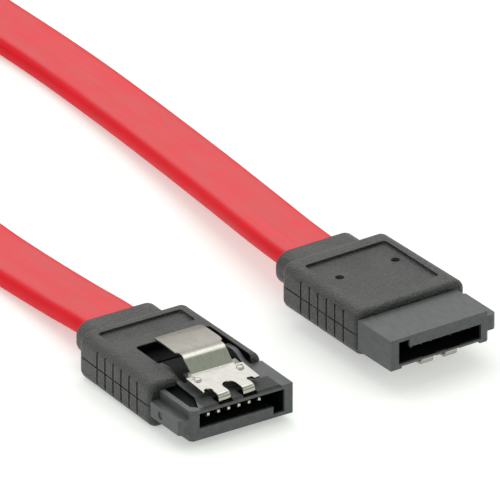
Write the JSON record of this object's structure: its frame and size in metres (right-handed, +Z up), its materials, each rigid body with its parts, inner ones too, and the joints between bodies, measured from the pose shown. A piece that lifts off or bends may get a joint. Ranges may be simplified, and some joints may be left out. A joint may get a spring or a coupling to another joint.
{
  "type": "sata data cable",
  "caption": "Flat ribbon data cable with a keyed latching plug at each end, its spare length folded into a tied hank.",
  "frame": {"origin": "on the floor, below the middle of the outline of the two plugs", "axes": "+Z up, the mouth of the plug that lies latch side up toward -Y, the ribbon away toward +Y"},
  "size_m": [0.0409, 0.213, 0.0124],
  "materials": {
    "boot": "matte",
    "shell": "satin",
    "block": "matte",
    "contact": "plated",
    "latch": "bright",
    "ribbon": "satin",
    "tie": "matte"
  },
  "bodies": {
    "cable": {"plug_a_boot": "boot", "plug_a_shell": "shell", "plug_a_inner_block": "block", "plug_a_contact_1": "contact", "plug_a_contact_2": "contact", "plug_a_contact_3": "contact", "plug_a_contact_4": "contact", "plug_a_contact_5": "contact", "plug_a_contact_6": "contact", "plug_a_contact_7": "contact", "plug_b_boot": "boot", "plug_b_shell": "shell", "plug_b_inner_block": "block", "plug_b_contact_1": "contact", "plug_b_contact_2": "contact", "plug_b_contact_3": "contact", "plug_b_contact_4": "contact", "plug_b_contact_5": "contact", "plug_b_contact_6": "contact", "plug_b_contact_7": "contact", "ribbon_a": "ribbon", "ribbon_b": "ribbon", "ribbon_hank": "ribbon", "hank_tie": "tie"},
    "latch_a": {"plug_a_latch": "latch"},
    "latch_b": {"plug_b_latch": "latch"}
  },
  "joints": [
    {"name": "latch_a_press", "type": "hinge", "parent": "cable", "child": "latch_a", "pos_m": [-0.01244, -0.0108, 0.0043], "axis": [-1, 0, 0], "range_deg": [0, 6], "stiffness_Nm_per_rad": 0.5},
    {"name": "latch_b_press", "type": "hinge", "parent": "cable", "child": "latch_b", "pos_m": [0.01246, -0.01152, 0.00287], "axis": [0.9994, 0.0342, 0], "range_deg": [0, 6], "stiffness_Nm_per_rad": 0.5}
  ]
}
